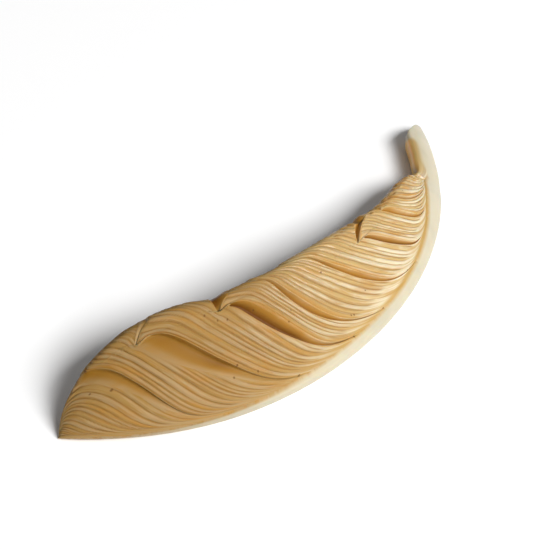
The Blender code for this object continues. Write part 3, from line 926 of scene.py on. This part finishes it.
class Finish:
    """A material's node tree, built by adding nodes."""

    def __init__(self, name):
        self.material = bpy.data.materials.new(name)
        self.material.use_nodes = True
        self.nodes = self.material.node_tree.nodes
        self.links = self.material.node_tree.links
        self.shader = self.nodes["Principled BSDF"]

    def put(self, node, key, value):
        """Sets or links one input of a node."""
        if isinstance(value, Wire):
            self.links.new(value.socket, node.inputs[key])
        else:
            node.inputs[key].default_value = value

    def add(self, kind, settings=None, inputs=None, output=0):
        """Adds a node, sets it up and returns one of its outputs."""
        node = self.nodes.new(kind)
        for key, value in (settings or {}).items():
            setattr(node, key, value)
        for key, value in (inputs or {}).items():
            self.put(node, key, value)
        return Wire(self, node.outputs[output])

    def mark(self, name):
        """A mark of the surface."""
        return self.add("ShaderNodeAttribute", {"attribute_name": name}, output="Fac")

    def noise(self, vector, scale, detail, roughness=0.5):
        """Noise between 0 and 1."""
        return self.add("ShaderNodeTexNoise", {}, {
            "Vector": vector, "Scale": scale, "Detail": detail, "Roughness": roughness}, "Fac")

    def strand_noise(self, marks, rates, detail, roughness=0.5):
        """Noise that runs with the strands."""
        vector = self.add("ShaderNodeCombineXYZ", {}, {
            0: marks.run * rates[0], 1: marks.across * rates[1], 2: marks.along * rates[2]})
        return self.noise(vector, 1.0, detail, roughness)

    def between(self, value, low, high):
        """0 below low, 1 above high and smooth between them."""
        return self.add("ShaderNodeMapRange", {"interpolation_type": "SMOOTHSTEP"}, {
            "Value": value, "From Min": low, "From Max": high}, "Result")

    def blend(self, share, base, top):
        """Base colour with a share of the top colour over it."""
        return self.add("ShaderNodeMix", {"data_type": "RGBA"}, {
            "Factor": share, 6: base, 7: top}, 2)

    def layered(self, base, layers):
        """Base colour under layers, as (share, colour), the first one lowest."""
        for share, colour in layers:
            base = self.blend(share, base, colour)
        return base

    def feed(self, **inputs):
        """Sets or links inputs of the material's own shader."""
        for key, value in inputs.items():
            self.put(self.shader, key.replace("_", " "), value)


def pit_mark(finish, marks, fine):
    """1 in the pits, whose outlines the fine noise makes uneven."""
    wander = (fine - 0.5) * PIT_WANDER
    flat_place = finish.add("ShaderNodeCombineXYZ", {}, {
        0: marks.along * MAP_LENGTH + wander, 1: marks.across * MAP_WIDTH - wander})
    pit = 0.0
    for at, q, radius in PITS:
        away = finish.add("ShaderNodeVectorMath", {"operation": "DISTANCE"}, {
            0: flat_place, 1: (at * MAP_LENGTH, q * MAP_WIDTH, 0.0)}, "Value")
        pit = pit + (1 - finish.between(away, radius * PIT_FULL, radius * PIT_END))
    return pit


def ivory_colour(finish, marks, broad, root_side, highlit_face, colours):
    """Carved ivory: browner near the root, bleached and with painted highlights on the open face, stained
    in the cuts, with painted shade where the hollows are deepest.
    """
    between = finish.between
    streaks = finish.strand_noise(marks, STREAK_RATES, 4.0, 0.55)
    warm = finish.strand_noise(marks, WARM_RATES, 3.0)
    scratches = finish.strand_noise(marks, SCRATCH_RATES, 2.0)
    uneven_root = root_side * 0.9 + (broad - 0.5) * 0.5 + (marks.tone - 0.5) * 0.25
    # Pale patches on the strand tops: partly bleaching, partly painted highlights
    pale = between(streaks * 0.7 + marks.tone * 0.3 + (broad - 0.5) * 0.7, *STREAKS_SHOW)
    stain = finish.blend(between(marks.along, *AMBER_FROM), colours.root_hollow, colours.amber)
    # Painted shade in the deepest part of the hollows, under the lips, over their stain
    deepest = between(marks.hollow, *HOLLOW_DEEPEST_SHADE)
    deepest = deepest * (0.25 + 0.72 * between(marks.along, *DEEPEST_SHADE_FROM))
    nicked = (1 - between(marks.across, *BELOW_NICKS)) * between(marks.along, *NICKS_FROM)
    return finish.layered(colours.ivory, [
        (uneven_root, colours.shaded),
        # Painted highlight with real bleaching: pale strand tops, strongest on the open face
        (pale * (0.16 + 0.70 * highlit_face) * (1 - marks.groove), colours.bleached_and_highlight),
        (between(scratches, *SCRATCHES_SHOW) * 0.42, colours.groove),
        (between(warm, *WARMTH_SHOWS) * 0.40, colours.amber),
        (marks.groove * (0.35 + 0.40 * streaks), colours.groove),
        (between(marks.hollow, *HOLLOW_STAINED) * 0.9, stain),
        (deepest, colours.hollow),
        (nicked * between(streaks, *STREAKS_SHOW) * 0.8, colours.amber),
        (nicked * between(warm, *DARK_NICKS_SHOW) * 0.5, colours.crease),
        # Golden rim strip, fading towards the root as painted shade on the lower edge there
        (between(marks.across, *RIM_STRIP) * (0.9 - 0.75 * root_side), colours.rim),
        (marks.neck * between(marks.turn, *NECK_EDGE), colours.horn),
        # Orange stain on the neck's inner side, brightened as painted light where it lies in shade
        (marks.neck * between(marks.turn, *NECK_INSIDE), colours.neck_inner_stain_and_light),
        # Creases: partly stain, partly painted shade along the deepest line of the hollows
        (between(marks.crease, *CREASE_STAIN_AND_SHADE) * (0.26 + 0.04 * root_side), colours.crease),
    ])


def tusk_finish(colours):
    """Golden carved ivory with stain in the cuts, and cream enamel along the outer edge."""
    finish = Finish("Carved ivory")
    place = finish.add("ShaderNodeTexCoord", output="Object")
    marks = Marks(*(finish.mark(name) for name in Marks._fields))
    broad = finish.noise(place, BROAD_RATE, 2.0)
    fine = finish.noise(place, FINE_RATE, 4.0, 0.6)
    root_side = 1 - finish.between(marks.along, *GOLDEN_FROM)
    # Painted highlight: the open face, away from the root, where the pale strand tops are strongest
    highlit_face = (1 - root_side) * finish.between(marks.across, *HIGHLIT_FACE)

    pit = pit_mark(finish, marks, fine)
    ivory = ivory_colour(finish, marks, broad, root_side, highlit_face, colours)
    ivory = finish.blend(pit * 0.8, ivory, colours.pit)
    patches = finish.between(finish.noise(place, ENAMEL_RATE, 2.0), *OLD_ENAMEL_SHOWS)
    enamel = finish.blend(patches * 0.6, colours.enamel, colours.old_enamel)
    # Painted shade: towards the root the enamel goes over to the darker ivory, where the band lies in
    # shade
    enamel_out_of_shade = marks.enamel * finish.between(marks.along, *ENAMEL_FROM)
    clean = (1 - marks.groove) * (1 - finish.between(marks.hollow, *HOLLOW_DULL))
    bump = finish.add("ShaderNodeBump", {}, {
        "Strength": 0.25, "Distance": 0.05 * MM, "Height": fine - 4 * pit})
    finish.feed(
        Base_Color=finish.blend(enamel_out_of_shade, ivory, enamel),
        Roughness=0.40 + 0.18 * fine + 0.15 * marks.groove,
        Coat_Weight=(1 - root_side) * clean * 0.5,
        Normal=bump,
        Coat_Roughness=0.18,
        Specular_IOR_Level=0.09,
        Subsurface_Weight=0.40,
        Subsurface_Radius=(1.0, 0.45, 0.2),
        Subsurface_Scale=1.1 * MM)
    return finish.material


def floor_finish(colour):
    """Plain pale studio floor."""
    finish = Finish("Studio floor")
    finish.feed(Base_Color=colour, Roughness=0.7)
    return finish.material


class TUSK_OT_carve(bpy.types.Operator):
    """Carve the tusk in fine relief, in place of its plain solid"""
    bl_idname = "tusk.carve"
    bl_label = "Carve the tusk"

    def execute(self, context):
        points, marks = closed_ends(*tusk_surface(context.scene.tusk_sizes))
        # Lowest corner where the solid's is, and the same middle across the arc
        low, high = (np.array(corner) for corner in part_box("carved_tusk"))
        own_low, own_high = points.min(axis=(0, 1)), points.max(axis=(0, 1))
        shift = low - own_low
        shift[1] = (low + high - own_low - own_high)[1] / 2
        mesh = tusk_mesh("carved_tusk_relief", points + shift, marks)
        mesh.materials.append(tusk_finish(context.scene.tusk_colours))
        tusk = bpy.data.objects.new("carved_tusk_relief", mesh)
        context.scene.collection.objects.link(tusk)
        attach(tusk, "root")
        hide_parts("carved_tusk")
        return {"FINISHED"}


def studio_floor(scene, colour):
    """Wide plain floor at height 0, which isn't part of the tusk."""
    bm = bmesh.new()
    bmesh.ops.create_grid(bm, x_segments=1, y_segments=1, size=FLOOR_REACH)
    mesh = bpy.data.meshes.new("studio_floor")
    bm.to_mesh(mesh)
    bm.free()
    mesh.materials.append(floor_finish(colour))
    floor = bpy.data.objects.new("studio_floor", mesh)
    scene.collection.objects.link(floor)


def soft_light(scene, name, aim, direction, power, size):
    """Wide soft light that shines on the aim from a direction."""
    light = bpy.data.lights.new(name, "AREA")
    light.shape = "RECTANGLE"
    light.energy = power
    light.size, light.size_y = size
    lamp = bpy.data.objects.new(name, light)
    lamp.location = aim + direction.normalized() * LIGHT_DISTANCE
    lamp.rotation_euler = direction.to_track_quat("Z", "Y").to_euler()
    scene.collection.objects.link(lamp)


def white_room(scene, strength):
    """White world of even strength."""
    world = bpy.data.worlds.new("White room")
    world.use_nodes = True
    background = world.node_tree.nodes["Background"]
    background.inputs["Color"].default_value = (1.0, 1.0, 1.0, 1.0)
    background.inputs["Strength"].default_value = strength
    scene.world = world


def picture_camera(scene, aim, back, distance, focal_length):
    """Camera that looks at the aim from a distance back from it."""
    lens = bpy.data.cameras.new("camera")
    lens.lens = focal_length
    camera = bpy.data.objects.new("camera", lens)
    camera.location = aim + back * distance
    camera.rotation_euler = back.to_track_quat("Z", "Y").to_euler()
    scene.collection.objects.link(camera)
    scene.camera = camera


class TUSK_OT_studio(bpy.types.Operator):
    """Set up the pale floor, the soft lights and the camera"""
    bl_idname = "tusk.studio"
    bl_label = "Set up the studio"

    def execute(self, context):
        scene = context.scene
        studio = scene.tusk_studio
        aim = Vector(studio.aim)
        azimuth, rise = studio.azimuth, studio.elevation
        right = Vector((cos(azimuth), sin(azimuth), 0))
        away = Vector((-sin(azimuth), cos(azimuth), 0))
        up = Vector((0, 0, 1))

        studio_floor(scene, studio.floor_colour)
        for name, shares, power, size in (
                ("key_light", KEY_DIRECTION, studio.key_power, KEY_SIZE),
                ("fill_light", FILL_DIRECTION, studio.fill_power, FILL_SIZE)):
            direction = right * shares[0] + away * shares[1] + up * shares[2]
            soft_light(scene, name, aim, direction, power, size)
        white_room(scene, studio.surround)
        back = up * sin(rise) - away * cos(rise)
        picture_camera(scene, aim, back, studio.distance, studio.focal_length)
        scene.view_settings.view_transform = "Standard"
        return {"FINISHED"}


class TUSK_PT_panel(bpy.types.Panel):
    """Panel that carves the tusk and sets up its picture"""
    bl_label = "Carved boar tusk"
    bl_idname = "TUSK_PT_panel"
    bl_space_type = "VIEW_3D"
    bl_region_type = "UI"
    bl_category = "Tusk"

    def draw(self, context):
        for group, operator in ((context.scene.tusk_sizes, TUSK_OT_carve),
                                (context.scene.tusk_colours, None),
                                (context.scene.tusk_studio, TUSK_OT_studio)):
            box = self.layout.box()
            for name in group.__annotations__:
                box.prop(group, name)
            if operator:
                box.operator(operator.bl_idname)


CLASSES = (TuskSizes, TuskColours, StudioSettings, TUSK_OT_carve, TUSK_OT_studio, TUSK_PT_panel)


def register():
    for item in CLASSES:
        bpy.utils.register_class(item)
    bpy.types.Scene.tusk_sizes = PointerProperty(type=TuskSizes)
    bpy.types.Scene.tusk_colours = PointerProperty(type=TuskColours)
    bpy.types.Scene.tusk_studio = PointerProperty(type=StudioSettings)


def unregister():
    del bpy.types.Scene.tusk_studio
    del bpy.types.Scene.tusk_colours
    del bpy.types.Scene.tusk_sizes
    for item in reversed(CLASSES):
        bpy.utils.unregister_class(item)


def main():
    register()
    bpy.ops.tusk.studio()
    bpy.ops.tusk.carve()


if __name__ == "__main__":
    main()
